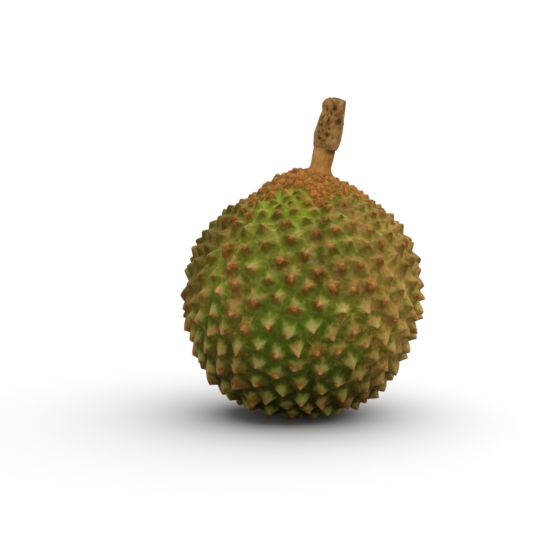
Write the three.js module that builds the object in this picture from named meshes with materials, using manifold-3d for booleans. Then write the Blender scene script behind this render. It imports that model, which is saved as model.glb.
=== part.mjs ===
// A whole ripe durian standing on its base, as picked: the spiny husk, and the woody stalk that stands in its
// crown. Millimetres, +Z up. The origin is the middle of the small flat style scar that the fruit rests on,
// and the front of the fruit faces -Y. It needs the npm packages three and manifold-3d, and its default
// export is the group of both pieces.
import * as THREE from "three";
import { ConvexHull } from "three/addons/math/ConvexHull.js";
import { mergeVertices } from "three/addons/utils/BufferGeometryUtils.js";
import Module from "manifold-3d";

const wasm = await Module();
wasm.setup();

const radians = THREE.MathUtils.degToRad;
const smoothstep = THREE.MathUtils.smoothstep;

// ---------------------------------------------------------------- driving dimensions: the fruit

const MIDDLE_HEIGHT = 98.6; // from the table to the middle of the fruit
const TABLE_TRIM = 0.4; // the base spines grow this far below the table, which trims them to small flats
const FRUIT_RADIUS = 100.6; // from the middle to the spine tips, round the waist
const CROWN_LEAN = radians(7.3); // the crown leans towards +X, and the base stays put
const CROWN_RISE = 6; // the low mound that carries the stalk
const CROWN_WIDTH = radians(16.5);
const CROWN_FULLER = radians(10.5); // the mound's middle lies this far from the stalk, towards -X
const SHOULDER_DIP = 4; // the shoulders fall a little short of a ball
const SHOULDER_AT = radians(33);
const SHOULDER_WIDTH = radians(16);
const HIP_SWELL = 5.5; // the fruit is widest round its lower half, where it sat heaviest
const HIP_AT = radians(143);
const HIP_WIDTH = radians(24);
const SLANT = 2; // one long diagonal, from the lower -X side to the upper +X side
const BASE_ROUNDING = 80; // how sharply the flat base turns up into the hips: higher is sharper

const LOCULES = 5; // chambers in the fruit, each a faint lobe between two sutures
const LOBE_SWELL = 1.2;
const FRONT_SUTURE = radians(-85); // where the suture nearest the front runs, as an azimuth
const SUTURE_DEPTH = 1.2;
const SUTURE_WIDTH = 4;

// ---------------------------------------------------------------- driving dimensions: the spines

const WAIST_SPACING = 19.5; // from one spine tip to the next
const CROWN_SPACING = 8.5;
const BASE_SPACING = 12;
const CROWN_SPINES_TO = radians(69); // the spines grow from the crown's size to the waist's by here
const BASE_SPINES_FROM = radians(140);
const SPINE_SLENDERNESS = 0.34; // a spine's height over its spacing
const CROWN_SLENDERNESS = 0.31; // and at the crown, where the spines are low knobs
const CROWN_KNOBS_TO = radians(23); // the knobs start to grow into spines here
const SIZE_VARIATION = 0.2; // how far a spine's own spacing strays, as a share
const HEIGHT_VARIATION = 0.2; // and its height
const SPINE_LEAN = 0.3; // how far a tip strays sideways, as a share of its height
const DROOP = 0.5; // how far a tip below the waist hangs towards the base, as a share of its height
const DROOP_AT = radians(116); // the spines droop most at this polar angle
const DROOP_WIDTH = radians(30);
const STALK_CLEARANCE = radians(6.5); // no spine stands nearer the stalk's axis than this
const RIDGE_BEND_AT = 0.42; // where a ridge bends, from its tip to its foot
const RIDGE_BEND_RISE = 0.42; // and how high it is there, as a share of the spine's height
const PLAIN_SPINE_SPACING = 11; // spines closer than this are plain pyramids, with straight ridges
const SCAR_EDGE_AT = 0.62; // the flat style scar's edge, from the middle of its cell to the foot

const GOLDEN_ANGLE = Math.PI * (3 - Math.sqrt(5));
const SWAY = 0.9; // how far a spine starts off the spiral, as a share of its spacing
const SETTLING_STEPS = 14; // rounds in which crowded spines push each other apart
const REACH = 1.25; // neighbours push within this many spacings
const PUSH = 0.22; // and by this share of the shortfall

// ---------------------------------------------------------------- driving dimensions: the stalk

const STALK_SIDES = 24;
const SOCKET_RADIUS = 10.6; // the seat in the crown that the stalk's root fills
const ROOT_GAP = 0.3; // between the root and its seat
const SOCKET_DEPTH = 8; // below the husk's surface
const SOCKET_OPEN_TO = 25; // above it, clear of every spine
// Stations along the stalk: height above the crown's surface, radius, and how far the middle strays to +X and
// +Y of a straight line. The root and the smooth neck come first, then the corky knuckle where the fruit lets
// go of its branch.
const STALK_STATIONS = [
  [ROOT_GAP - SOCKET_DEPTH, SOCKET_RADIUS - ROOT_GAP, 0, 0],
  [0, SOCKET_RADIUS - ROOT_GAP, 0, 0],
  [2.6, 9.6, -0.3, 0],
  [5.2, 8.6, -0.4, 0],
  [9.5, 8.5, -0.5, 0.1],
  [14.3, 8.7, -0.5, 0.2],
  [19.6, 8.7, -0.4, 0.3],
  [21.6, 9.5, -0.2, 0.4],
  [24.6, 10.4, -0.1, 0.5],
  [28.5, 11.1, 0, 0.6],
  [32.5, 11.1, -0.3, 0.6],
  [37, 10.9, -0.4, 0.5],
  [41.5, 10.5, -0.4, 0.3],
  [46, 9.9, -0.1, 0],
  [50, 9.4, 0.2, -0.3],
  [54.5, 9.6, -0.4, -0.5],
  [58.3, 9.3, -0.5, -0.6],
  [61, 8.1, 0.1, -0.6],
  [62.8, 5.6, 1.1, -0.6],
];
const STALK_TOP = 63.4; // the middle of the cut end
const STALK_TILT = radians(12.5); // the stalk leans further to +X than the crown does
const STALK_OVAL = 0.05; // how far its section strays from round, as a share of the radius
const STALK_OVAL_TURN = radians(34); // which way the oval lies at the foot
const STALK_OVAL_TWIST = 0.02; // and how fast it turns with height, in radians per millimetre
const STALK_KNOBS = 0.03; // three low swellings round the section
const STALK_KNOBS_TWIST = 0.21;
const STALK_ROUND_FOOT = 20; // the section is round in its seat and fully oval this far above it

// ---------------------------------------------------------------- the fruit's own frame
// Every point of the husk belongs to a direction q on a unit sphere with the stalk at its north pole and the
// style scar at its south pole. Bending that sphere about Y gives the leaning fruit.

const polarAngle = (q) => Math.acos(THREE.MathUtils.clamp(q.z, -1, 1));

function directionAt(polar, azimuth) {
  const side = Math.sin(polar);
  return new THREE.Vector3(side * Math.cos(azimuth), side * Math.sin(azimuth), Math.cos(polar));
}

const Y_AXIS = new THREE.Vector3(0, 1, 0);

function outward(q) {
  return q.clone().applyAxisAngle(Y_AXIS, (CROWN_LEAN * (1 + q.z)) / 2);
}

// The angle round the axis from q to its nearest suture, positive anticlockwise.
function angleFromSuture(q) {
  const turn = (2 * Math.PI) / LOCULES;
  const past = (Math.atan2(q.y, q.x) - FRONT_SUTURE) / turn;
  return (past - Math.round(past)) * turn;
}

const bump = (x, width) => Math.exp(-((x / width) ** 2));
const plateau = (x, width) => Math.exp(-((x / width) ** 4));

// ---------------------------------------------------------------- the husk's surface

// The distance between spine tips at this polar angle.
function spacingAt(polar) {
  const fromCrown = smoothstep(polar, CROWN_LEAN, CROWN_SPINES_TO);
  const toBase = smoothstep(polar, BASE_SPINES_FROM, Math.PI);
  return (
    CROWN_SPACING + (WAIST_SPACING - CROWN_SPACING) * fromCrown - (WAIST_SPACING - BASE_SPACING) * toBase
  );
}

// The height of a spine over its valleys at this polar angle.
function heightAt(polar) {
  const grown = smoothstep(polar, CROWN_KNOBS_TO, CROWN_SPINES_TO);
  return (CROWN_SLENDERNESS + (SPINE_SLENDERNESS - CROWN_SLENDERNESS) * grown) * spacingAt(polar);
}

const MOUND = directionAt(CROWN_FULLER, Math.PI);

// How far the spine tips stand from the fruit's middle, before each one's own variation.
function tipRadius(q) {
  const polar = polarAngle(q);
  const round =
    FRUIT_RADIUS +
    CROWN_RISE * plateau(q.angleTo(MOUND), CROWN_WIDTH) -
    SHOULDER_DIP * bump(polar - SHOULDER_AT, SHOULDER_WIDTH) +
    HIP_SWELL * bump(polar - HIP_AT, HIP_WIDTH) +
    SLANT * 2 * q.x * q.z -
    LOBE_SWELL * Math.cos(LOCULES * angleFromSuture(q)) * Math.sin(polar) ** 2;
  const down = -outward(q).z;
  if (down <= 0) return round;
  const toTable = (MIDDLE_HEIGHT + TABLE_TRIM) / down; // the flat base, met by a rounded edge
  return round * (1 + (round / toTable) ** BASE_ROUNDING) ** (-1 / BASE_ROUNDING);
}

// The point in direction q that stands this far proud of the spine tips' surface.
function pointAt(q, proud) {
  const fromMiddle = outward(q).multiplyScalar(tipRadius(q) + proud);
  return fromMiddle.add(new THREE.Vector3(0, 0, MIDDLE_HEIGHT));
}

// The bottom of the valleys between the spines.
function valleyPoint(q) {
  const polar = polarAngle(q);
  const acrossSuture = FRUIT_RADIUS * Math.sin(polar) * Math.sin(angleFromSuture(q));
  return pointAt(q, -heightAt(polar) - SUTURE_DEPTH * bump(acrossSuture, SUTURE_WIDTH));
}

// ---------------------------------------------------------------- where the spines stand

// A repeatable number from 0 to 1 for the n-th spine and a purpose: the fraction of a large sine.
function chance(n, purpose) {
  const x = Math.sin(n * 12.9898 + purpose * 78.233) * 43758.5453;
  return x - Math.floor(x);
}

// Polar angles that give each spine the area that its spacing asks for, from the stalk to the base: rings of
// ground are added up, and a spine stands wherever the sum has grown by one more.
function polarAngles() {
  const slices = 2000;
  const found = [];
  let spines = 0;
  for (let k = 0; k < slices; k++) {
    const polar = STALK_CLEARANCE + ((k + 0.5) / slices) * (Math.PI - STALK_CLEARANCE);
    const ring = 2 * Math.PI * FRUIT_RADIUS ** 2 * Math.sin(polar) * ((Math.PI - STALK_CLEARANCE) / slices);
    spines += ring / ((Math.sqrt(3) / 2) * spacingAt(polar) ** 2);
    if (spines >= found.length + 0.5) found.push(polar);
  }
  return found;
}

// The spines start on a spiral, strayed, and push their neighbours away until they stand in loose staggered
// rows. The last one is the style scar.
function spineSites() {
  const sites = polarAngles().map((polar, n) => {
    const sway = (chance(n, 1) - 0.5) * SWAY * (spacingAt(polar) / FRUIT_RADIUS);
    return directionAt(polar + sway, n * GOLDEN_ANGLE);
  });
  const stray = sites.map((q, n) => 1 + SIZE_VARIATION * (2 * chance(n, 2) - 1));
  for (let step = 0; step < SETTLING_STEPS; step++) {
    const spacing = sites.map((q, n) => stray[n] * spacingAt(polarAngle(q)));
    const moves = sites.map(() => new THREE.Vector3());
    const push = (n, other, wanted) => {
      const away = sites[n].clone().sub(other).multiplyScalar(FRUIT_RADIUS);
      const distance = away.length();
      const short = REACH * wanted - distance;
      if (short > 0 && distance > 0) {
        moves[n].addScaledVector(away, (PUSH * short) / distance / FRUIT_RADIUS);
      }
    };
    sites.forEach((q, n) => {
      sites.forEach((other, m) => {
        if (m !== n) push(n, other, (spacing[n] + spacing[m]) / 2);
      });
      push(n, new THREE.Vector3(0, 0, -1), (spacing[n] + BASE_SPACING) / 2);
    });
    sites.forEach((q, n) => {
      q.add(moves[n]).normalize();
      if (polarAngle(q) < STALK_CLEARANCE) q.copy(directionAt(STALK_CLEARANCE, Math.atan2(q.y, q.x)));
    });
  }
  return [...sites, new THREE.Vector3(0, 0, -1)];
}

// ---------------------------------------------------------------- the husk

// Every spine is a pyramid on the ground that lies nearer to it than to any other spine. The corners of that
// ground are shared by three spines: the middles of the triangles that join neighbouring sites. Each ridge
// runs from the tip to a corner, and bends inwards on the way, so the faces between the ridges are hollow.
function spinyBody() {
  const sites = spineSites();
  const hull = new ConvexHull().setFromPoints(sites);
  const number = new Map(sites.map((q, n) => [q, n]));
  const vertices = [];
  const place = (p) => vertices.push(p) - 1;

  const spines = sites.map((q, n) => {
    const isScar = n === sites.length - 1;
    const usual = heightAt(polarAngle(q));
    const taller = isScar ? 0 : HEIGHT_VARIATION * (2 * chance(n, 6) - 1);
    const height = usual * (1 + taller);
    const droop = 2 * DROOP * chance(n, 15) * bump(polarAngle(q) - DROOP_AT, DROOP_WIDTH);
    const lean = new THREE.Vector3(chance(n, 3) - 0.5, chance(n, 4) - 0.5, chance(n, 5) - 0.5)
      .multiplyScalar(2 * SPINE_LEAN)
      .add(new THREE.Vector3(0, 0, -droop))
      .multiplyScalar(isScar ? 0 : height)
      .projectOnPlane(outward(q));
    const tip = place(pointAt(q, usual * taller).add(lean));
    const plain = spacingAt(polarAngle(q)) < PLAIN_SPINE_SPACING && !isScar;
    return { q, isScar, height, lean, tip, plain, bends: new Map() };
  });

  // A ridge's bend, or the scar's edge, on the line from the spine's site to a corner.
  const bendOf = (spine, corner) => {
    if (!spine.bends.has(corner)) {
      const along = spine.isScar ? SCAR_EDGE_AT : RIDGE_BEND_AT;
      const foot = spine.q.clone().lerp(corner.q, along).normalize();
      const bend = valleyPoint(foot)
        .addScaledVector(outward(foot), spine.height * RIDGE_BEND_RISE)
        .addScaledVector(spine.lean, (1 - along) ** 2);
      spine.bends.set(corner, place(spine.isScar ? pointAt(foot, 0) : bend));
    }
    return spine.bends.get(corner);
  };

  const corners = new Map(
    hull.faces.map((face) => [face, { q: face.normal.clone(), foot: place(valleyPoint(face.normal)) }]),
  );
  const triangles = [];
  for (const face of hull.faces) {
    let edge = face.edge;
    do {
      // This edge runs between two neighbouring spines; the border between them runs from corner to corner.
      const spine = spines[number.get(edge.tail().point)];
      const [right, left] = [corners.get(edge.twin.face), corners.get(face)];
      if (spine.plain) {
        triangles.push(spine.tip, right.foot, left.foot);
      } else {
        const [rightBend, leftBend] = [bendOf(spine, right), bendOf(spine, left)];
        triangles.push(spine.tip, rightBend, leftBend);
        triangles.push(rightBend, right.foot, left.foot, rightBend, left.foot, leftBend);
      }
      edge = edge.next;
    } while (edge !== face.edge);
  }
  return new wasm.Manifold(
    new wasm.Mesh({
      numProp: 3,
      vertProperties: new Float32Array(vertices.flatMap((p) => p.toArray())),
      triVerts: new Uint32Array(triangles),
    }),
  );
}

// ---------------------------------------------------------------- solids and geometries

function solidOf(geometry) {
  const bare = geometry.clone().deleteAttribute("normal").deleteAttribute("uv");
  const merged = mergeVertices(bare, 1e-4);
  return new wasm.Manifold(
    new wasm.Mesh({
      numProp: 3,
      vertProperties: merged.attributes.position.array,
      triVerts: new Uint32Array(merged.index.array),
    }),
  );
}

function geometryOf(solid) {
  const mesh = solid.getMesh();
  return new THREE.BufferGeometry()
    .setAttribute("position", new THREE.BufferAttribute(mesh.vertProperties, 3))
    .setIndex(new THREE.BufferAttribute(mesh.triVerts, 1))
    .toNonIndexed();
}

// ---------------------------------------------------------------- the stalk's line

const NORTH = new THREE.Vector3(0, 0, 1);
const STALK_FOOT = valleyPoint(NORTH); // where the stalk's axis meets the husk's surface
const STALK_TURN = new THREE.Matrix4().makeRotationY(STALK_TILT).setPosition(STALK_FOOT);

// A closed tube on the stalk's axis through rings of points, from the lowest to the highest.
function tube(rings, bottom, top) {
  const triangles = [];
  for (let k = 0; k < STALK_SIDES; k++) {
    const next = (k + 1) % STALK_SIDES;
    triangles.push(bottom, rings[0][next], rings[0][k], top, rings.at(-1)[k], rings.at(-1)[next]);
    for (let n = 0; n + 1 < rings.length; n++) {
      const [low, high] = [rings[n], rings[n + 1]];
      triangles.push(low[k], low[next], high[next], low[k], high[next], high[k]);
    }
  }
  return new THREE.BufferGeometry().setFromPoints(triangles).applyMatrix4(STALK_TURN);
}

const around = (k) => ((k + 0.5) / STALK_SIDES) * 2 * Math.PI;

// The seat for the stalk's root: a plain round hole along the stalk's axis, open above.
function socket() {
  const wall = (k) => directionAt(Math.PI / 2, around(k)).multiplyScalar(SOCKET_RADIUS);
  const ring = (height) => Array.from({ length: STALK_SIDES }, (_, k) => wall(k).setZ(height));
  const [low, high] = [-SOCKET_DEPTH, SOCKET_OPEN_TO];
  return solidOf(tube([ring(low), ring(high)], new THREE.Vector3(0, 0, low), new THREE.Vector3(0, 0, high)));
}

// Everything under the table's surface: it trims the spines that carry the fruit to small flats.
function table() {
  const depth = 2 * FRUIT_RADIUS;
  return solidOf(new THREE.BoxGeometry(depth, depth, depth).translate(0, 0, -depth / 2));
}

// ---------------------------------------------------------------- the pieces

function huskMesh() {
  const husk = spinyBody().subtract(table()).subtract(socket());
  const green = new THREE.MeshStandardMaterial({ color: 0x76732a, roughness: 0.62, metalness: 0 });
  const mesh = new THREE.Mesh(geometryOf(husk), green);
  mesh.name = "husk";
  return mesh;
}

// A tube through the stations, closed by a flat root and a low dome on the cut end.
function stalkMesh() {
  const rings = STALK_STATIONS.map(([height, radius, strayX, strayY]) => {
    const loose = smoothstep(height, 0, STALK_ROUND_FOOT);
    return Array.from({ length: STALK_SIDES }, (_, k) => {
      const oval = STALK_OVAL * Math.cos(2 * around(k) + STALK_OVAL_TURN + height * STALK_OVAL_TWIST);
      const knobs = STALK_KNOBS * Math.sin(3 * around(k) + height * STALK_KNOBS_TWIST);
      const r = radius * (1 + loose * (oval + knobs));
      return new THREE.Vector3(strayX + r * Math.cos(around(k)), strayY + r * Math.sin(around(k)), height);
    });
  });
  const [, , topX, topY] = STALK_STATIONS.at(-1);
  const root = new THREE.Vector3(0, 0, STALK_STATIONS[0][0]);
  const bark = new THREE.MeshStandardMaterial({ color: 0x8a6236, roughness: 0.85, metalness: 0 });
  const mesh = new THREE.Mesh(tube(rings, root, new THREE.Vector3(topX, topY, STALK_TOP)), bark);
  mesh.name = "stalk";
  return mesh;
}

const durian = new THREE.Group();
durian.add(huskMesh(), stalkMesh());

export default durian;
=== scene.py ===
"""A whole ripe durian standing on a pale table: the spiny husk and the woody stalk in its crown.
Metres, +Z up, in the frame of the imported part, whose front faces -Y."""

import math

import bmesh
import bpy
import numpy as np
from mathutils import Euler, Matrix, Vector


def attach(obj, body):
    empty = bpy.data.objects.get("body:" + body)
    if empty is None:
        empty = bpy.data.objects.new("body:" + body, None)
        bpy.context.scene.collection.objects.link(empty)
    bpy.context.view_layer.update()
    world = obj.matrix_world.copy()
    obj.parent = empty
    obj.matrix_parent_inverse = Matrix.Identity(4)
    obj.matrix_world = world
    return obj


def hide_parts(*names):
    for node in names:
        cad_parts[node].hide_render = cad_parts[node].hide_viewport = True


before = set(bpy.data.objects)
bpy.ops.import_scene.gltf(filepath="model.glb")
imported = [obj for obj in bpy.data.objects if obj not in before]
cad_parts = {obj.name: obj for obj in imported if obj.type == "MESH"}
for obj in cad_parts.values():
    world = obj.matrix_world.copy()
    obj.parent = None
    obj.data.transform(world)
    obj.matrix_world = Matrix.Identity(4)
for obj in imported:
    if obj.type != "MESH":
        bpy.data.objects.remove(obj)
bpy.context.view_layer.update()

# ---------------------------------------------------------------- the camera
# A long lens a little over a metre away, about level with the top of the stalk, so that the fruit is seen
# from a few degrees above its middle.

CAMERA_AT = (-0.030, -1.252, 0.260)
CAMERA_DOWN = math.radians(6.3)
SENSOR_WIDTH = 36  # in millimetres, as the lens is
FRAME_PIXELS = 535
LENS_PIXELS = 1522  # the focal length, counted in pixels of the frame

camera = bpy.data.objects.new("camera", bpy.data.cameras.new("camera"))
bpy.context.scene.collection.objects.link(camera)
bpy.context.scene.camera = camera
camera.location = CAMERA_AT
camera.rotation_euler = Euler((math.pi / 2 - CAMERA_DOWN, 0, 0))
camera.data.sensor_width = SENSOR_WIDTH
camera.data.lens = SENSOR_WIDTH * LENS_PIXELS / FRAME_PIXELS
bpy.context.scene.view_settings.view_transform = "Standard"

# ---------------------------------------------------------------- the table and the light
# A pale table that runs out of sight on all sides, under one very large soft light that is nearly overhead,
# a little to the right and behind. The room is white near the horizon and dimmer overhead.

TABLE_HALF_WIDTH = 60.0
TABLE_WHITE = (0.565, 0.565, 0.565, 1)
TABLE_ROUGHNESS = 0.9
LIGHT_FROM = Vector((0.27, 0.10, 1.0))
LIGHT_STRENGTH = 4.75
LIGHT_SIZE = math.radians(104)
ROOM_COLOUR = (1, 1, 1, 1)
ROOM_LOW, ROOM_HIGH = 1.08, 0.30  # brightness at the horizon and overhead
ROOM_LOW_TO, ROOM_HIGH_FROM = 0.08, 0.25  # the heights, as sines, between which one turns into the other


def new_finish(name):
    """A material, its node tree and its shader."""
    finish = bpy.data.materials.new(name)
    finish.use_nodes = True
    return finish, finish.node_tree, finish.node_tree.nodes["Principled BSDF"]


def node(tree, kind, inputs=(), **settings):
    """A node of that kind with its settings. inputs gives each socket a value or another node's output."""
    made = tree.nodes.new("ShaderNode" + kind)
    for setting, value in settings.items():
        setattr(made, setting, value)
    for socket, value in dict(inputs).items():
        if isinstance(value, bpy.types.NodeSocket):
            tree.links.new(value, made.inputs[socket])
        else:
            made.inputs[socket].default_value = value
    return made


def new_table():
    """One square face round the origin."""
    mesh = bpy.data.meshes.new("table")
    far = TABLE_HALF_WIDTH
    mesh.from_pydata([(-far, -far, 0), (far, -far, 0), (far, far, 0), (-far, far, 0)], [], [(0, 1, 2, 3)])
    finish, _, shader = new_finish("table white")
    shader.inputs["Base Color"].default_value = TABLE_WHITE
    shader.inputs["Roughness"].default_value = TABLE_ROUGHNESS
    mesh.materials.append(finish)
    made = bpy.data.objects.new("table", mesh)
    bpy.context.scene.collection.objects.link(made)
    return made


def new_room():
    """White light from all round. Its strength changes smoothly from ROOM_LOW to ROOM_HIGH while the sine of
    the height that it comes from goes from ROOM_LOW_TO to ROOM_HIGH_FROM."""
    room = bpy.data.worlds.new("room")
    room.use_nodes = True
    tree = room.node_tree
    direction = node(tree, "TexCoord").outputs["Generated"]
    height = node(tree, "SeparateXYZ", {0: direction}).outputs["Z"]
    turns = {0: height, 1: ROOM_LOW_TO, 2: ROOM_HIGH_FROM, 3: ROOM_LOW, 4: ROOM_HIGH}
    brightness = node(tree, "MapRange", turns, interpolation_type="SMOOTHSTEP").outputs[0]
    tree.links.new(brightness, tree.nodes["Background"].inputs["Strength"])
    tree.nodes["Background"].inputs["Color"].default_value = ROOM_COLOUR
    return room


table = new_table()

lamp = bpy.data.objects.new("light", bpy.data.lights.new("light", "SUN"))
lamp.data.energy = LIGHT_STRENGTH
lamp.data.angle = LIGHT_SIZE
lamp.rotation_euler = (-LIGHT_FROM).to_track_quat("-Z", "Y").to_euler()
bpy.context.scene.collection.objects.link(lamp)
bpy.context.scene.world = new_room()

# ---------------------------------------------------------------- the husk
# The thick fibrous rind of the fruit, grown as one piece. It is covered in pyramid spines, each on ground of
# its own, with ridges that run down to where three spines meet, and it is parted by five faint sutures.

# The ball that the tips of the spines touch. Angles are measured down from the crown.
FRUIT_RADIUS = 0.1006
MIDDLE = np.array([0, 0, 0.0986])
CROWN_LEAN = math.radians(7.3)  # how far the crown leans to +X
CROWN_RISE, CROWN_WIDTH = 0.006, math.radians(16.5)  # the mound under the stalk
CROWN_FULLER = math.radians(10.5)  # how far the mound's middle lies to -X
SHOULDER_DIP, SHOULDER_AT, SHOULDER_WIDTH = 0.004, math.radians(33), math.radians(16)
HIP_SWELL, HIP_AT, HIP_WIDTH = 0.0055, math.radians(143), math.radians(24)
SLANT = 0.002  # how much fuller it is at the upper +X side and at the lower -X side
TABLE_TRIM = 0.0004  # how far under the table the ball is cut off
BASE_ROUNDING = 80  # the power that rounds the edge of that cut: higher is sharper
TINY = 1e-9  # keeps a division from being by nothing

# The five chambers inside, which show as weak lobes with a shallow suture between each two.
LOCULES = 5
LOBE_SWELL = 0.0012
FRONT_SUTURE = math.radians(-85)
SUTURE_DEPTH, SUTURE_WIDTH = 0.0012, 0.004

# Where the spines stand. Variations, SWAY and REACH are shares of the spacing.
CROWN_SPACING, WAIST_SPACING, BASE_SPACING = 0.0085, 0.0195, 0.012
CROWN_SPINES_TO, BASE_SPINES_FROM = math.radians(69), math.radians(140)
STALK_CLEARANCE = math.radians(6.5)
SIZE_VARIATION = 0.2  # how far a spine's own spacing may be from the rule
SWAY = 0.9  # how far spines lie off their spiral before they settle
SETTLING_STEPS = 14
REACH = 1.25  # spines nearer than this push each other
PUSH = 0.22  # the share of what is short that a push makes up
SPIRAL_SLICES = 2000

# How tall the spines are and how they lean, as shares of the spacing and of their height.
CROWN_SLENDERNESS, SPINE_SLENDERNESS = 0.31, 0.34
CROWN_KNOBS_TO = math.radians(23)
HEIGHT_VARIATION = 0.2
SPINE_LEAN = 0.3
DROOP, DROOP_AT, DROOP_WIDTH = 0.5, math.radians(116), math.radians(30)  # tips hang towards the base there

# The rusty scurf of the crown, which is rough as well as brown: where it starts and where it is full.
SCURF = (math.radians(37), math.radians(10))


def direction_at(polar, azimuth):
    """The unit vector at a polar angle from +Z and an azimuth from +X."""
    side = np.sin(polar)
    return np.stack([side * np.cos(azimuth), side * np.sin(azimuth), np.cos(polar) + 0 * side], -1)


def unit(v):
    """Each vector over its own length."""
    return v / np.linalg.norm(v, axis=-1, keepdims=True)


def bump(x, width):
    """A bell of height 1 round zero: e to the minus (x over width)^2."""
    return np.exp(-((x / width) ** 2))


def plateau(x, width):
    """A hill of height 1 round zero, flat on top and steep at its sides: e to the minus (x over width)^4."""
    return np.exp(-((x / width) ** 4))


def smoothstep(x, start, full):
    """Zero at start and before it, one at full and past it, and 3t^2 - 2t^3 between them. Start may be the
    larger of the two."""
    t = np.clip((x - start) / (full - start), 0, 1)
    return t * t * (3 - 2 * t)


def chance(n, purpose):
    """A repeatable number from 0 to 1: the fraction of a large sine of n and the purpose."""
    x = np.sin(n * 12.9898 + purpose * 78.233) * 43758.5453
    return x - np.floor(x)


def either_way(n, purpose):
    """A repeatable number from -1 to 1."""
    return 2 * chance(n, purpose) - 1


def polar_of(q):
    """The angle between the unit vector q and +Z, by its cosine."""
    return np.arccos(np.clip(q[..., 2], -1, 1))


def outward(q):
    """The fruit's own direction q, turned about Y by a lean that grows from none at the base to CROWN_LEAN
    at the crown."""
    lean = CROWN_LEAN * (1 + q[..., 2]) / 2
    c, s = np.cos(lean), np.sin(lean)
    return np.stack([q[..., 0] * c + q[..., 2] * s, q[..., 1], q[..., 2] * c - q[..., 0] * s], -1)


def angle_from_suture(q):
    """The angle round the axis from q to the nearest of the evenly spaced sutures."""
    turn = 2 * math.pi / LOCULES
    past = (np.arctan2(q[..., 1], q[..., 0]) - FRONT_SUTURE) / turn
    return (past - np.floor(past + 0.5)) * turn


def across_suture(q):
    """The distance from the nearest suture: the fruit's radius, times the sine of q's angle from the crown,
    times the sine of its angle from the suture."""
    return FRUIT_RADIUS * np.sin(polar_of(q)) * np.sin(angle_from_suture(q))


def spacing_at(polar):
    """The distance between spine tips: small at the crown, widest round the waist, smaller at the base."""
    from_crown = smoothstep(polar, CROWN_LEAN, CROWN_SPINES_TO)
    to_base = smoothstep(polar, BASE_SPINES_FROM, math.pi)
    more, less = WAIST_SPACING - CROWN_SPACING, WAIST_SPACING - BASE_SPACING
    return CROWN_SPACING + more * from_crown - less * to_base


def tip_radius(q):
    """From the middle to the spine tips: a ball with a mound at the crown, a dip at the shoulders, swollen
    hips and a slight slant and lobes, cut off by the table's plane with a rounded edge."""
    polar = polar_of(q)
    from_mound = np.arccos(np.clip(q @ direction_at(CROWN_FULLER, math.pi), -1, 1))
    ball = (
        FRUIT_RADIUS
        + CROWN_RISE * plateau(from_mound, CROWN_WIDTH)
        - SHOULDER_DIP * bump(polar - SHOULDER_AT, SHOULDER_WIDTH)
        + HIP_SWELL * bump(polar - HIP_AT, HIP_WIDTH)
        + SLANT * 2 * q[..., 0] * q[..., 2]
        - LOBE_SWELL * np.cos(LOCULES * angle_from_suture(q)) * np.sin(polar) ** 2
    )
    to_table = (MIDDLE[2] + TABLE_TRIM) / np.maximum(-outward(q)[..., 2], TINY)
    return ball * (1 + (ball / to_table) ** BASE_ROUNDING) ** (-1 / BASE_ROUNDING)


def point_at(q, proud):
    """The point in direction q that stands this far proud of the spine tips' surface."""
    return outward(q) * (tip_radius(q) + proud)[..., None] + MIDDLE


def height_at(polar):
    """The height of a spine over its valleys: a share of the spacing, which is less at the crown."""
    grown = smoothstep(polar, CROWN_KNOBS_TO, CROWN_SPINES_TO)
    return (CROWN_SLENDERNESS + (SPINE_SLENDERNESS - CROWN_SLENDERNESS) * grown) * spacing_at(polar)


def valley_depth(q):
    """How far the valleys lie below the tips: a spine's height, and more along a suture."""
    return height_at(polar_of(q)) + SUTURE_DEPTH * bump(across_suture(q), SUTURE_WIDTH)


def push(sites, other, wanted):
    """The move that takes each site away from the other points nearer than REACH times the wanted spacing,
    by a share PUSH of what is short, summed over those points."""
    away = (sites[:, None] - other) * FRUIT_RADIUS
    distance = np.linalg.norm(away, axis=-1)
    short = np.clip(REACH * wanted - distance, 0, None) * (distance > 0)
    share = PUSH * short / np.maximum(distance, TINY) / FRUIT_RADIUS
    return (away * share[..., None]).sum(1)


def spiral_sites():
    """Directions on a spiral with the turn of the golden angle. Each ring of the ball holds as many as its
    area over that of a hexagon as wide as the spacing, and each site sways up or down."""
    turned = math.pi - STALK_CLEARANCE
    ring_polar = STALK_CLEARANCE + (np.arange(SPIRAL_SLICES) + 0.5) / SPIRAL_SLICES * turned
    ring_area = 2 * math.pi * FRUIT_RADIUS**2 * np.sin(ring_polar) * (turned / SPIRAL_SLICES)
    spines_above = np.cumsum(ring_area / (math.sqrt(3) / 2 * spacing_at(ring_polar) ** 2))
    n = np.arange(int(spines_above[-1] + 0.5))
    polar = ring_polar[np.searchsorted(spines_above, n + 0.5)]
    sway = (chance(n, 1) - 0.5) * SWAY * spacing_at(polar) / FRUIT_RADIUS
    return direction_at(polar + sway, n * math.pi * (3 - math.sqrt(5)))


def spine_sites():
    """Directions of the spines: the spiral's, after rounds in which they push each other apart and are kept
    out of a cone round the stalk. The style scar at the south pole comes last."""
    sites = spiral_sites()
    stray = 1 + SIZE_VARIATION * either_way(np.arange(len(sites)), 2)
    south = np.array([[0.0, 0, -1]])
    for _ in range(SETTLING_STEPS):
        spacing = stray * spacing_at(polar_of(sites))
        move = push(sites, sites[None], (spacing[:, None] + spacing) / 2)
        move += push(sites, south[None], (spacing[:, None] + BASE_SPACING) / 2)
        sites = unit(sites + move)
        crowding = polar_of(sites) < STALK_CLEARANCE
        kept_out = direction_at(np.full(len(sites), STALK_CLEARANCE), np.arctan2(sites[:, 1], sites[:, 0]))
        sites = np.where(crowding[:, None], kept_out, sites)
    return np.vstack([sites, south])


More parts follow.
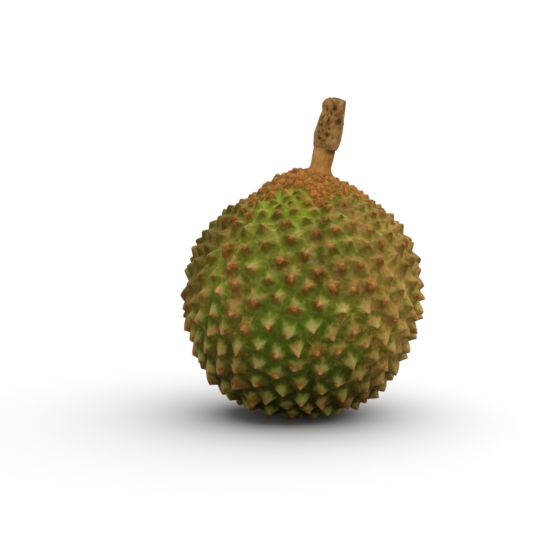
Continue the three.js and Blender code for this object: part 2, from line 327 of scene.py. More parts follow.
def hull_triangles(points):
    """Point numbers of the triangles of the convex hull."""
    mesh = bpy.data.meshes.new("hull")
    mesh.from_pydata(points.tolist(), [], [])
    bm = bmesh.new()
    bm.from_mesh(mesh)
    bmesh.ops.convex_hull(bm, input=bm.verts)
    bmesh.ops.triangulate(bm, faces=bm.faces)
    bm.to_mesh(mesh)
    bm.free()
    triangles = np.zeros(len(mesh.polygons) * 3, int)
    mesh.polygons.foreach_get("vertices", triangles)
    bpy.data.meshes.remove(mesh)
    return triangles.reshape(-1, 3)


def ground_sides(sites):
    """For each side of each spine's ground: the spine, the two corners of the side, and the corners' numbers.
    The corners are the normals of the hull's triangles, and the sides cross the hull's edges."""
    a, b, c = hull_triangles(sites).T
    normal = np.cross(sites[b] - sites[a], sites[c] - sites[a])
    inward = (normal * sites[a]).sum(1) < 0
    b, c = np.where(inward, c, b), np.where(inward, b, c)
    corners = unit(np.where(inward[:, None], -normal, normal))
    tail = np.concatenate([a, b, c])
    head = np.concatenate([b, c, a])
    face = np.tile(np.arange(len(a)), 3)
    key, twin_key = tail * len(sites) + head, head * len(sites) + tail
    order = np.argsort(key)
    twin = order[np.searchsorted(key[order], twin_key)]
    return tail, corners[face[twin]], corners[face], face[twin], face


# Every side of a spine's ground carries one face of the spine, which is a grid: DOWN it from the tip to the
# side, and ACROSS it from one ridge to the next. Steps lie close at the tip and beside the ridges, which are
# the sharp forms. Arrays of a face's points have the shape (face, down, across).
DOWN = np.array([0, 0.035, 0.09, 0.17, 0.28, 0.42, 0.59, 0.79, 1])[None, :, None]
ACROSS = np.array([0, 0.17, 0.5, 0.83, 1])[None, None, :]
BETWEEN = np.sin(math.pi * ACROSS) ** 2  # zero on the ridges and one half way between them

# The fall from the tip is straight at a power of 1 and hollow at more.
RIDGE_HOLLOW, RIDGE_VARIES = 1.1, 0.7  # the least power down a ridge, and how much more it may be
RIDGE_STRIDE = 0.37  # sets the draws for the ridges of one spine apart
FACE_HOLLOW = 0.45  # how much more the power is half way between two ridges
BASE_HOLLOW = 0.75  # how much more it is for the narrow spines near the base, but not out on the flanks
BASE_HOLLOW_ZONE = (math.radians(84), math.radians(132))  # the angles where that starts and is full
FLANK_ZONE = (0.72, 0.3)  # how far out along X, either way, a spine has none of it and all of it
TIP_BLUNTNESS, CROWN_BLUNTNESS = 0.13, 0.3  # how far down the sides the tip is rounded
LEAST_BLUNT, BLUNT_VARIES = 0.6, 0.9  # a tip's least share of that, and how much more it may be
VALLEY_SAG = 0.03  # how far the middle of a valley lies below its ends, as a share of the spacing
SCAR_EDGE_AT = 0.62  # how far down the faces of the scar its level middle reaches
# The rough of the rind, as the width, height and seed of its lumps. Scurf makes them ROUGHER times as high.
RIND_LUMPS = ((0.0095, 0.0007, 0.007), (0.0042, 0.00045, 0.0045), (0.0019, 0.0002, 0.002))
ROUGHER = 1.7
CELL_STRIDES = np.array([127.1, 311.7, 74.7])  # turn the place of a cube into one number for its draw


def cloud(points, size, seed):
    """Smooth noise from -1 to 1: random numbers at the corners of cubes of that size, blended between them by
    3t^2 - 2t^3 along each axis."""
    p = points / size
    cell = np.floor(p)
    t = (p - cell) ** 2 * (3 - 2 * (p - cell))
    total = 0
    for corner in np.ndindex(2, 2, 2):
        at = (cell + corner) @ CELL_STRIDES + seed
        weight = np.where(corner, t, 1 - t).prod(-1)
        total = total + weight * chance(at, 1)
    return 2 * total - 1


def lumps_at(points, lumps):
    """Smooth noise of several sizes added up, each given as (width, height, seed)."""
    return sum(tall * cloud(points, wide, seed) for wide, tall, seed in lumps)


def on_grid(values):
    """One value for each face, as it is at every point of the face's grid."""
    return values[:, None, None]


def face_directions(sites, spine, right, left):
    """Directions of a face's points: from the spine's site by the share DOWN to a place on the ground's side,
    which lies by the share ACROSS from its right corner to its left one."""
    down, across = DOWN[..., None], ACROSS[..., None]
    foot = on_grid(right) * (1 - across) + on_grid(left) * across
    return unit(on_grid(sites[spine]) * (1 - down) + foot * down)


def rounded_down(sites, spine):
    """The way down a face with the tip rounded off: the root of DOWN squared and the spine's bluntness
    squared, shifted and scaled to run from 0 to 1."""
    near_crown = smoothstep(polar_of(sites), *SCURF)
    blunt = TIP_BLUNTNESS + (CROWN_BLUNTNESS - TIP_BLUNTNESS) * near_crown
    blunt = on_grid(blunt[spine] * (LEAST_BLUNT + BLUNT_VARIES * chance(spine, 14)))
    return (np.sqrt(DOWN**2 + blunt**2) - blunt) / (np.sqrt(1 + blunt**2) - blunt)


def ridge_power(spine, corner):
    """The power of the fall down the ridge from a spine to a corner of its ground."""
    return on_grid(RIDGE_HOLLOW + RIDGE_VARIES * chance(spine + RIDGE_STRIDE * corner, 10))


def face_profile(sites, spine, right_number, left_number):
    """The height over the valley, as a share of the spine's: 1 less the rounded way down, to a power that
    blends from ridge to ridge and is more between them and near the base. With it comes how sharply a ridge
    shows at each place: one on a straight ridge, less on a hollow one, none half way between two."""
    ridges = ridge_power(spine, right_number) * (1 - ACROSS) + ridge_power(spine, left_number) * ACROSS
    off_flanks = smoothstep(np.abs(sites[:, 0]), *FLANK_ZONE)
    near_base = smoothstep(polar_of(sites), *BASE_HOLLOW_ZONE) * off_flanks
    power = ridges + FACE_HOLLOW * BETWEEN + BASE_HOLLOW * on_grid(near_base[spine])
    profile = (1 - rounded_down(sites, spine)) ** power
    return profile, (1 - BETWEEN) * (1 - (ridges - RIDGE_HOLLOW) / RIDGE_VARIES)


def spine_leans(sites, height):
    """How far each tip lies from its site: a random share of the height to any side, and a share towards the
    base that follows a bell round DROOP_AT, without the part that points out of the fruit."""
    n = np.arange(len(sites))
    lean = SPINE_LEAN * np.stack([either_way(n, 3), either_way(n, 4), either_way(n, 5)], -1)
    lean[:, 2] -= 2 * DROOP * chance(n, 15) * bump(polar_of(sites) - DROOP_AT, DROOP_WIDTH)
    lean *= height[:, None]
    out = outward(sites)
    return lean - out * (lean * out).sum(1, keepdims=True)


def husk_surface(sites, spine, right, left, right_number, left_number):
    """The points of every face: the tips' surface less the valley's depth, plus the spine's height times its
    profile and the lumps of the rind, less the valley's sag, which goes with the cube of the way down. The
    spine's lean is added and dies away as (1 - DOWN) squared. Nothing lies under the table."""
    q = face_directions(sites, spine, right, left)
    polar, valley = polar_of(q), valley_depth(q)
    height = height_at(polar_of(sites)) * (1 + HEIGHT_VARIATION * either_way(np.arange(len(sites)), 6))
    height[-1] = 0  # the scar, which is a level spot as high as the tips round it
    on_scar = on_grid(spine == len(sites) - 1)
    profile, ridge = face_profile(sites, spine, right_number, left_number)
    profile = np.where(on_scar, 1 - smoothstep(DOWN, SCAR_EDGE_AT, 1), profile)

    rise = np.where(on_scar, valley, on_grid(height[spine])) * profile
    sag = VALLEY_SAG * spacing_at(polar) * BETWEEN * DOWN**3
    lumps = lumps_at(q * FRUIT_RADIUS, RIND_LUMPS) * (1 + (ROUGHER - 1) * smoothstep(polar, *SCURF))
    points = point_at(q, rise - valley - sag + np.where(on_scar, 0, lumps))
    points += on_grid(spine_leans(sites, height)[spine]) * ((1 - DOWN) ** 2)[..., None]
    points[..., 2] = np.maximum(points[..., 2], 0)
    return q, profile, ridge, points


def grid_faces(count, rows, columns):
    """Corner numbers of the faces of count grids of rows by columns points: a triangle for each step across
    from the first row, which is one point, then two for each cell."""
    row, column = np.meshgrid(np.arange(rows - 1), np.arange(columns - 1), indexing="ij")
    a = (row * columns + column).ravel()
    b, c, d = a + columns, a + columns + 1, a + 1
    lower = np.stack([a, b, c], -1)
    upper = np.stack([a, c, d], -1)[row.ravel() > 0]
    one = np.vstack([lower, upper])
    return (one[None] + (np.arange(count) * rows * columns)[:, None, None]).reshape(-1, 3)


MERGED_WITHIN = 2e-6


def new_piece(name, points, faces, named_values):
    """A mesh object from points and triangles, with named values at the corners of its faces. Points that
    fall together are merged."""
    mesh = bpy.data.meshes.new(name)
    mesh.vertices.add(len(points))
    mesh.vertices.foreach_set("co", points.astype(np.float32).ravel())
    mesh.loops.add(faces.size)
    mesh.loops.foreach_set("vertex_index", faces.ravel().astype(np.int32))
    mesh.polygons.add(len(faces))
    mesh.polygons.foreach_set("loop_start", np.arange(0, faces.size, 3, dtype=np.int32))
    mesh.update(calc_edges=True)
    for title, values in named_values.items():
        layer = mesh.attributes.new(title, "FLOAT_VECTOR", "CORNER")
        at_corners = values.reshape(-1, 3)[faces.ravel()]
        layer.data.foreach_set("vector", at_corners.astype(np.float32).ravel())
    bm = bmesh.new()
    bm.from_mesh(mesh)
    bmesh.ops.remove_doubles(bm, verts=bm.verts, dist=MERGED_WITHIN)
    bm.to_mesh(mesh)
    bm.free()
    mesh.polygons.foreach_set("use_smooth", np.ones(len(mesh.polygons), bool))
    piece = bpy.data.objects.new(name, mesh)
    bpy.context.scene.collection.objects.link(piece)
    return piece


# The zones of the husk's colours. A pair says where a zone starts and where it is full.
SCURF_ON_SUTURE, SCURF_BAND = math.radians(12), 0.010  # how much farther the scurf runs down a suture
TAN_SIDE = (-0.01, 0.085)  # the +X side, which is ripe and tan
DRY_SIDE = (-0.015, -0.075)  # the -X side, which is a little dry
HIGH = (math.radians(100), math.radians(60))  # the upper half: weathered, and painted lit in the valleys
FRESH_AT = (math.radians(35), math.radians(-116))  # the fresh green patch: its polar angle and azimuth
FRESH_WIDTH = math.radians(22)
SHADE = (math.radians(85), math.radians(150))  # the underside, painted in shade
LOW_SIDE, LOW_SIDE_ZONE = math.radians(10), (-0.01, -0.08)  # how much farther up it reaches at the -X side
SHADED_BROWN_TOWARDS = np.array([-0.92, 0, 0.39])  # the side where the edge is brown and painted in shade
SHADED_BROWN_EDGE = (0.072, 0.094)  # and how far from the middle that way
SUTURE_LINE = 0.0028  # half the width of the painted shade along a suture
SUTURE_SHOWS = (math.radians(14), math.radians(30))  # how far down from the crown the line shows
PALE_TURN = math.radians(50)  # how far the side of a spine with painted light may be turned from straight up

# The fibres that run down the spines. They are read from noise on a circle round each spine, and the
# circle's radius sets how many there are.
FIBRES = 6.5
FIBRE_LENGTH = 1.4  # how far down the noise one spine reaches
FIBRE_SHIFT = 97  # how far apart in the noise the circles of two spines may lie
OFF_THE_SPINES = np.array([0.13, 0.21, 0.97])  # any direction that no spine has


def fibre_places(sites, spine, right, left):
    """Round each spine, a circle of radius FIBRES in a part of the noise of its own, and down it a short
    step: noise read there is drawn out along the spine."""
    middle = on_grid(sites[spine])
    away = on_grid(right) * (1 - ACROSS[..., None]) + on_grid(left) * ACROSS[..., None] - middle
    east = unit(np.cross(OFF_THE_SPINES, middle))
    north = np.cross(middle, east)
    circle = unit(np.stack([(away * east).sum(-1), (away * north).sum(-1)], -1)) * FIBRES
    round_it = circle + FIBRE_SHIFT * on_grid(np.stack([chance(spine, 8), chance(spine, 9)], -1))
    down_it = DOWN[..., None] * FIBRE_LENGTH
    shape = (len(spine), DOWN.size, ACROSS.size)
    return np.concatenate([np.broadcast_to(round_it, (*shape, 2)), np.broadcast_to(down_it, (*shape, 1))], -1)


def over_the_tip(q, sites, spine):
    """From -1 below a spine's tip to 1 above it: the part of the way to the tip that runs up the fruit, in a
    direction that is turned to either side by an angle of the spine's own."""
    middle = on_grid(sites[spine])
    away = unit(q - middle + TINY)
    east = unit(np.cross(np.array([0, 0, 1.0]), middle + TINY))
    turn = PALE_TURN * on_grid(either_way(spine, 16))
    upward = away[..., 2] * np.sqrt(1 - middle[..., 2] ** 2)
    return upward * np.cos(turn) + (away * east).sum(-1) * np.sin(turn)


def zones(q, points):
    """How far each place lies in each zone. Zones go by the angle from the crown or by the place along X, the
    fresh green by a bell round its middle, the suture by one across it, and the brown edge with its painted
    shade by how far a place lies towards its direction."""
    polar, side, across = polar_of(q), points[..., 0], across_suture(q)
    from_fresh = np.arccos(np.clip(q @ direction_at(*FRESH_AT), -1, 1))
    return {
        "scurf": smoothstep(polar - SCURF_ON_SUTURE * bump(across, SCURF_BAND), *SCURF),
        "tan": smoothstep(side, *TAN_SIDE),
        "dry_side": smoothstep(side, *DRY_SIDE),
        "high": smoothstep(polar, *HIGH),
        "fresh": bump(from_fresh, FRESH_WIDTH),
        "shade": smoothstep(polar + LOW_SIDE * smoothstep(side, *LOW_SIDE_ZONE), *SHADE),
        "shaded_brown_edge": smoothstep((points - MIDDLE) @ SHADED_BROWN_TOWARDS, *SHADED_BROWN_EDGE),
        "suture": bump(across, SUTURE_LINE) * smoothstep(polar, *SUTURE_SHOWS),
    }


# What the finish reads at each place, three values to an attribute of the mesh. rise is how high up a spine
# it is, own the spine's random number, and over says whether it lies above or below the tip. weather holds
# the fresh patch, the painted shade of the underside, and the brown edge with its painted shade.
HUSK_READINGS = {
    "form": ("rise", "ridge", "own"),
    "zone": ("scurf", "tan", "suture"),
    "weather": ("fresh", "shade", "shaded_brown_edge"),
    "side": ("dry_side", "high", "over"),
}


def in_threes(readings, values, shape):
    """The named values, spread over an array of that shape and put together three by three."""
    spread = {name: np.broadcast_to(value, shape) for name, value in values.items()}
    return {title: np.stack([spread[name] for name in names], -1) for title, names in readings.items()}


sites = spine_sites()
spine, right, left, right_number, left_number = ground_sides(sites)
husk_q, husk_rise, ridge, husk_points = husk_surface(sites, spine, right, left, right_number, left_number)
husk_values = {
    "rise": husk_rise,
    "ridge": ridge,
    "own": on_grid(chance(spine, 7)),
    "over": over_the_tip(husk_q, sites, spine),
    **zones(husk_q, husk_points),
}
husk_attributes = in_threes(HUSK_READINGS, husk_values, husk_rise.shape)
husk_attributes["fibre"] = fibre_places(sites, spine, right, left)
husk = new_piece("husk.rind", husk_points.reshape(-1, 3), grid_faces(*husk_rise.shape), husk_attributes)


def paint(red, green, blue):
    """A colour given on a 0 to 255 scale, as the linear values that the shader takes: a straight line
    near black, and above it a power of 2.4."""
    c = np.array([red, green, blue]) / 255
    return (*np.where(c <= 0.04045, c / 12.92, ((c + 0.055) / 1.055) ** 2.4), 1.0)


def maths(tree, operation, *values):
    """A Math node's result."""
    return node(tree, "Math", dict(enumerate(values)), operation=operation).outputs[0]


def weighed(tree, read, weights):
    """Each named reading times its weight, added up, and the weight of "always" as it is."""
    total = weights.get("always", 0.0)
    for name, weight in weights.items():
        if name != "always":
            total = maths(tree, "MULTIPLY_ADD", read[name], weight, total)
    return total


def step(tree, value, start, full):
    """Zero up to start, one from full, and smooth between. Start may be the larger of the two."""
    made = node(tree, "MapRange", {0: value, 1: start, 2: full}, interpolation_type="SMOOTHSTEP")
    return made.outputs[0]


def reading(tree, read, kind):
    """A reading by its name, a sum by its weights, a step by (name or weights, start, full), or a number."""
    if isinstance(kind, tuple):
        inner, start, full = kind
        return step(tree, reading(tree, read, inner), start, full)
    if isinstance(kind, dict):
        return weighed(tree, read, kind)
    return read[kind] if isinstance(kind, str) else kind


def gradient(tree, value, stops):
    """A colour ramp through stops of (place, colour given on a 0 to 255 scale)."""
    made = node(tree, "ValToRGB", {0: value})
    ramp = made.color_ramp
    ramp.elements[0].position, ramp.elements[1].position = stops[0][0], stops[-1][0]
    ramp.elements[0].color, ramp.elements[1].color = paint(*stops[0][1]), paint(*stops[-1][1])
    for place, colour in stops[1:-1]:
        ramp.elements.new(place).color = paint(*colour)
    return made.outputs[0]


def blend(tree, share, below, above, mode="MIX"):
    """The colour above laid over the one below by a share, or mixed with it in another mode."""
    inputs = {0: share, 6: below, 7: above}
    return node(tree, "Mix", inputs, data_type="RGBA", blend_type=mode, clamp_factor=True).outputs[2]


def coated(tree, read, colour, coats):
    """The colour under one coat after another. A coat is its own colour, a given one or a reading's, and
    the readings whose product says how strongly it shows."""
    for tint, first, *others in coats.values():
        share = reading(tree, read, first)
        for kind in others:
            share = maths(tree, "MULTIPLY", share, reading(tree, read, kind))
        colour = blend(tree, share, colour, read[tint] if isinstance(tint, str) else paint(*tint))
    return colour


def noises(tree, place, kinds):
    """Noise from -0.5 to 0.5 of each named kind, given as (scale, detail, roughness). Its features are about
    1 over the scale wide."""
    made = {}
    for name, (scale, detail, roughness) in kinds.items():
        inputs = {"Vector": place, "Scale": scale, "Detail": detail, "Roughness": roughness}
        made[name] = maths(tree, "SUBTRACT", node(tree, "TexNoise", inputs).outputs[0], 0.5)
    return made


def attribute(tree, title):
    """The vector that the mesh holds under that title."""
    return node(tree, "Attribute", attribute_name=title).outputs["Vector"]


def named_readings(tree, readings):
    """The values of in_threes, each under its name again."""
    read = {}
    for title, names in readings.items():
        read.update(zip(names, node(tree, "SeparateXYZ", {0: attribute(tree, title)}).outputs))
    return read


def work_out(tree, read, sums, ramps):
    """More readings, by the sums of those before them, and then the colours of the ramps, each by a sum."""
    for name, kind in sums.items():
        read[name] = reading(tree, read, kind)
    for name, (weights, stops) in ramps.items():
        read[name] = gradient(tree, weighed(tree, read, weights), stops)


def lay_on(tree, shader, colour, tone):
    """The shader's colour: the paint times the tone."""
    grey = node(tree, "CombineXYZ", {0: tone, 1: tone, 2: tone}).outputs[0]
    tree.links.new(blend(tree, 1.0, colour, grey, "MULTIPLY"), shader.inputs["Base Color"])


def roughen(tree, shader, read, roughness, relief, depth, gloss):
    """The shader's roughness, a weighed sum brought from the range low to high into the range least to most,
    its relief, a bump of that depth that follows a weighed sum, and its gloss."""
    weights, low, high, least, most = roughness
    turns = {0: weighed(tree, read, weights), 1: low, 2: high, 3: least, 4: most}
    tree.links.new(node(tree, "MapRange", turns).outputs[0], shader.inputs["Roughness"])
    bumps = node(tree, "Bump", {"Height": weighed(tree, read, relief), "Distance": depth, "Strength": 1.0})
    tree.links.new(bumps.outputs[0], shader.inputs["Normal"])
    shader.inputs["Specular IOR Level"].default_value = gloss


# The noises on the rind and along its fibres.
RIND_NOISES = {
    "patches": (24, 3, 0.55),
    "rust": (34, 3, 0.6),
    "clouds": (55, 2, 0.55),
    "blots": (85, 4, 0.6),
    "pale": (95, 3, 0.6),
    "flecks": (110, 3, 0.6),
    "wobble": (170, 4, 0.55),
    "grain": (420, 3, 0.6),
    "fine": (900, 3, 0.65),
}
FIBRE_NOISE = {"fibres": (1.0, 3, 0.6)}

# What is worked out from the readings by their weights, such as how far up its spine a place counts, how dry
# it is and how far it lies in the tip's cap. Two numbers after a name or after weights say where a step
# starts and where it is full.
RIND_SUMS = {
    "whim": {"always": -0.5, "own": 1.0},
    "up": {"near_tip": 0.5, "rise": 0.5, "wobble": 0.26, "whim": 0.10, "fibres": 0.09, "grain": 0.16},
    "drier": {"tan": 1.0, "dry_side": 0.42, "high": 0.3, "high_dry_side": -0.38, "whim": 0.6},
    "tan_here": ({"drier": 1.0, "patches": 2.2, "grain": 1.3, "wobble": 0.9}, 0.2, 1.0),
    "pale_here": ("pale", -0.08, 0.16),
    "plain_one": ("own", 0.1, 0.9),
    "in_valley": ("up", 0.34, 0.0),
    "rusty": ("rust", -0.14, 0.12),
    "capped": {
        "up": 1.0,
        "scurf": 0.85,
        "whim": 0.44,
        "rusty": 0.12,
        "tan": -0.10,
        "fresh": -0.10,
        "shaded_brown_edge": -0.2,
    },
}

# Colours that change by a sum: the ground's from the valley up to the tip, fresh or weathered, the weathered
# ones with painted light in the valleys and painted shade on the faces, on the green side and the dry one,
# the crust's by its grain, and that under the tips, brown with painted shade, by the height on the fruit.
RIND_RAMPS = {
    "green": ({"up": 1.0}, [
        (0.0, (72, 87, 17)),
        (0.10, (87, 102, 26)),
        (0.24, (110, 119, 42)),
        (0.50, (136, 132, 58)),
        (0.80, (146, 134, 70)),
    ]),
    "weathered_green_lit_valleys": ({"up": 1.0}, [
        (0.0, (104, 106, 30)),
        (0.20, (104, 104, 28)),
        (0.50, (106, 100, 28)),
        (0.80, (116, 94, 34)),
    ]),
    "dry": ({"up": 1.0}, [
        (0.0, (95, 84, 20)),
        (0.14, (119, 101, 33)),
        (0.40, (140, 122, 54)),
        (0.80, (150, 131, 74)),
    ]),
    "weathered_dry_lit_valleys": ({"up": 1.0}, [
        (0.0, (122, 106, 38)),
        (0.30, (128, 108, 42)),
        (0.80, (136, 108, 48)),
    ]),
    "lively": ({"up": 1.0}, [
        (0.0, (113, 129, 18)),
        (0.25, (114, 126, 20)),
        (0.60, (110, 106, 26)),
    ]),
    "crust": ({"always": 0.2, "rise": 0.5, "grain": 1.5}, [
        (0.05, (100, 64, 16)),
        (0.35, (145, 93, 37)),
        (0.60, (162, 106, 50)),
        (0.95, (178, 125, 72)),
    ]),
    "brown_and_shade_under_face": ({"high": 1.0}, [
        (0.0, (66, 50, 4)),
        (1.0, (66, 62, 8)),
    ]),
}

# The coats over the ground, from the first to the last: a colour, then the factors of how strongly it shows.
# On the upper half the colour is weathered, with painted light in the valleys and painted shade on the faces.
GREEN_COATS = {
    "weather and painted light on the upper half": ["weathered_green_lit_valleys", "high", 0.85],
}
DRY_COATS = {
    "weather and painted light on the upper half": ["weathered_dry_lit_valleys", "high", 0.85],
}
RIND_COATS = {
    "dry rind": ["dry_ground", "tan_here", 0.85],
    "fresh patch on the shoulder": ["lively", ({"fresh": 1.0, "patches": 0.8}, 0.3, 0.9), 0.85],
    "pale ridges": [
        (146, 136, 76),
        ("ridge", 0.2, 0.9),
        ("rise", 0.08, 0.4),
        "pale_here",
        {"always": 0.22, "high": -0.20},
    ],
    # Painted light: the faces of each spine that look up are paler, more so on the lower half.
    "painted light on the faces that look up": [
        (159, 153, 89),
        ("over", -0.1, 0.7),
        ({"up": 1.0, "shade": -0.14}, 0.07, 0.51),
        {"always": 0.3, "pale_here": 0.7},
        {"always": 1.25, "plain_one": -0.85},
        {"always": 0.80, "high": -0.60},
        {"always": 1.0, "shade": 0.2},
    ],
    # Painted light: flecks of paler colour in the valleys of the upper half.
    "painted light in flecks in the upper valleys": [
        (150, 146, 86),
        ("flecks", 0.0, 0.18),
        ("up", 0.6, 0.2),
        "high",
        0.45,
        {"always": 1.0, "scurf": -1.0},
    ],
    "brown blots": [
        (148, 108, 56),
        ({"blots": 1.0, "wobble": 0.8, "patches": 0.5, "up": 0.16, "drier": 0.12, "tan": 0.07}, 0.08, 0.34),
        0.70,
    ],
    # Partly brown and partly painted shade: the faces below each tip are darker.
    "brown and painted shade under the tips": [
        "brown_and_shade_under_face",
        ("over", 0.2, -0.6),
        ("up", 0.03, 0.24),
        {"always": 0.74, "tan_here": -0.3},
    ],
    # Rust round each tip, reaching lower on the tip's underside as painted shade.
    "rust round the tips, lower down as painted shade": [(104, 64, 18), ({"capped": 1.0, "over": -0.22}, 0.46, 0.80), 0.85],
    "crust on the tips and the crown": ["crust", ("capped", 0.62, 0.88), {"always": 0.75, "scurf": 0.3}],
    # Pale tips, with a painted highlight on the side of each tip that looks up.
    "pale points, with a painted highlight on top": [
        (184, 146, 98),
        ({"rise": 1.0, "over": 0.16}, 0.78, 1.0),
        {"always": 0.36, "high": -0.22},
    ],
    # Painted shade: a dark line in the valleys along each suture.
    "painted shade along the sutures": [(50, 42, 8), "suture", {"always": 1.0, "rise": -1.0}, 0.45],
    # Painted shade: the underside is darker, most of all in its valleys.
    "painted shade on the underside": [(32, 28, 3), "shade", {"always": 0.31, "in_valley": 0.65}],
    # Partly brown and partly painted shade: the edge towards -X is darker.
    "brown edge and painted shade at -X": [(66, 52, 10), ({"shaded_brown_edge": 1.0, "patches": 2.4}, 0.15, 1.1), 0.62],
}

# The mottle that multiplies the colour, the roughness, and the relief.
RIND_TONE = {
    "always": 1.18,
    "clouds": 0.9,
    "wobble": 0.85,
    "grain": 0.8,
    "fine": 0.5,
    "fibres": 0.35,
    "dry_side": 0.16,
    # painted shade: darker on the underside
    "shade": -0.11,
    "high": -0.16,
    "whim": -0.26,
}
RIND_ROUGHNESS = {"fine": 1.0, "wobble": 1.0}, -0.4, 0.4, 0.58, 0.85
RIND_RELIEF = {"wobble": 1.6, "grain": 1.2, "fibres": 0.9, "fine": 0.8}
RIND_RELIEF_DEPTH = 0.0005
RIND_GLOSS = 0.05


def rind_readings(tree):
    """What the mesh tells of each place and the noises there. near_tip is 1 less the way down the spine,
    squared, and high_dry_side is high times dry_side."""
    read = named_readings(tree, HUSK_READINGS)
    fibre_place = attribute(tree, "fibre")
    read.update(noises(tree, node(tree, "TexCoord").outputs["Object"], RIND_NOISES))
    read.update(noises(tree, fibre_place, FIBRE_NOISE))
    down_it = node(tree, "SeparateXYZ", {0: fibre_place}).outputs[2]
    way_left = maths(tree, "MULTIPLY_ADD", down_it, -1 / FIBRE_LENGTH, 1.0)
    read["near_tip"] = maths(tree, "POWER", way_left, 2.0)
    read["high_dry_side"] = maths(tree, "MULTIPLY", read["high"], read["dry_side"])
    return read


def rind_finish():
    """Dark green in the valleys, paler up the faces, rust and painted shade under the tips and orange at
    them, with a painted highlight on their tops. The +X side is tan, the crown is covered in orange-brown
    scurf, and fibres run down each spine. Painted light falls on the faces that look up and in the upper
    valleys, and painted shade on the underside, along the sutures and at the -X edge, which is brown as well."""
    finish, tree, shader = new_finish("rind")
    read = rind_readings(tree)
    work_out(tree, read, RIND_SUMS, RIND_RAMPS)
    read["dry_ground"] = coated(tree, read, read["dry"], DRY_COATS)
    ground = coated(tree, read, read["green"], GREEN_COATS)
    lay_on(tree, shader, coated(tree, read, ground, RIND_COATS), weighed(tree, read, RIND_TONE))
    roughen(tree, shader, read, RIND_ROUGHNESS, RIND_RELIEF, RIND_RELIEF_DEPTH, RIND_GLOSS)
    return finish


husk.data.materials.append(rind_finish())

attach(husk, "root")
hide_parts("husk")

# ---------------------------------------------------------------- the stalk
# The woody stalk that the fruit hung by. A smooth orange-brown neck grows out of the crown, and above it is
# the corky knuckle where a ripe fruit lets go of its branch, pitted with lenticels and broken off at the top.

STALK_TILT = math.radians(12.5)
STALK_SIDES = 160
STALK_RINGS = 260
# Stations up the outside, in millimetres: height above the crown, radius, and how far the middle strays to +X
# and +Y. The lip of the knuckle hangs over the neck, so the height turns back there.
STALK_STATIONS = np.array([
    (-7.7, 10.3, 0, 0),
    (-1.5, 10.9, 0, 0),
    (0.8, 10.9, 0, 0),
    (2.6, 9.7, -0.2, 0),
    (5.2, 8.6, -0.4, 0),
    (9.5, 8.5, -0.5, 0.1),
    (14.3, 8.7, -0.5, 0.2),
    (19.4, 8.7, -0.4, 0.3),
    (20.9, 8.8, -0.4, 0.3),
    (21.2, 9.0, -0.3, 0.4),
    (21.1, 9.3, -0.2, 0.4),
    (21.8, 9.6, -0.2, 0.4),
    (23.6, 10.1, -0.1, 0.5),
    (26.0, 10.7, 0, 0.5),
    (29.0, 11.1, 0, 0.6),
    (32.5, 11.1, -0.3, 0.6),
    (37.0, 10.9, -0.4, 0.5),
    (41.5, 10.5, -0.4, 0.3),
    (46.0, 9.9, -0.1, 0),
    (50.0, 9.4, 0.2, -0.3),
    (54.5, 9.6, -0.4, -0.5),
    (57.0, 9.5, -0.6, -0.6),
    (59.0, 9.1, -0.4, -0.6),
    (60.8, 8.2, 0.1, -0.6),
    (62.0, 7.0, 0.8, -0.6),
    (62.7, 5.2, 1.2, -0.6),
    (63.1, 3.0, 1.4, -0.6),
    (63.3, 1.2, 1.5, -0.6),
    (63.3, 0.0, 1.5, -0.6),
]) / 1000
CORK_ZONE = (0.0202, 0.0216)  # heights between which the neck turns into the knuckle
BROKEN_ZONE = (0.0600, 0.0626)  # and the knuckle into the broken end

# The section is a circle in its seat, and above it an oval with three low knobs. Twists are in radians a
# metre.
ROUND_FOOT = (0, 0.020)
OVAL, OVAL_TURN, OVAL_TWIST = 0.05, math.radians(34), 20
KNOBS, KNOBS_TWIST = 0.03, 210

# Lenticels that show at the front, as (height, degrees from the front towards +X, half width, half height),
# the lengths in millimetres. The widest is a scar where a twig came off.
FRONT_PITS = np.array([
    (54.2, 2, 1.9, 2.1),
    (52.6, -43, 1.3, 1.3),
    (44.0, -18, 1.2, 2.6),
    (38.8, -43, 1.4, 1.6),
    (32.0, -7, 1.2, 2.0),
    (37.3, -4, 0.9, 1.1),
    (44.9, 36, 3.4, 3.6),
    (45.9, -52, 1.0, 1.0),
    (49.8, -14, 0.8, 1.3),
    (28.4, -46, 2.0, 1.3),
    (34.6, -30, 0.6, 0.9),
    (30.4, 18, 0.6, 0.7),
    (48.2, -32, 0.6, 0.8),
    (27.0, -20, 0.8, 0.6),
    (56.8, 62, 1.8, 3.6),
    (33.2, -52, 0.9, 1.6),
])
# The others, spread by chance over the back. A pair is the least of a measure and how much more it may be.
LOOSE_PITS = 46
PIT_HEIGHTS = (0.025, 0.034)
PIT_HALF_TURNS = (0.06, 0.88)
PIT_WIDTHS = (0.0005, 0.0009)
PIT_TALLER = 1.4  # how tall a pit is for its width
PIT_REACH = 0.0100  # the radius of the wood where the pits' widths are measured
PIT_STEEPNESS, DEEPEST_PIT = 0.5, 0.0009  # a pit's depth as a share of its half width, and at most
RAGGED, RAGGED_SIZE, RAGGED_SEED = 0.45, 0.0012, 5.0  # the noise that makes the pits' edges uneven

# The rough of the wood, as the width, height and seed of its lumps.
BARK_LUMPS = ((0.0034, 0.00030, 1.0), (0.0015, 0.00016, 2.0), (0.0007, 0.00008, 3.0))
NECK_LUMPS = ((0.002, 0.00008, 6.0),)
STRAND_LUMPS = ((0.0011, 0.00016, 4.0),)
STRAND_RADIUS, STRAND_STRETCH = 0.011, 9
BROKEN_LUMPS = ((0.0022, 0.0004, 7.0), (0.0010, 0.00025, 8.0))
NEAR_MIDDLE = 0.003  # the radius within which the broken end's forms die away


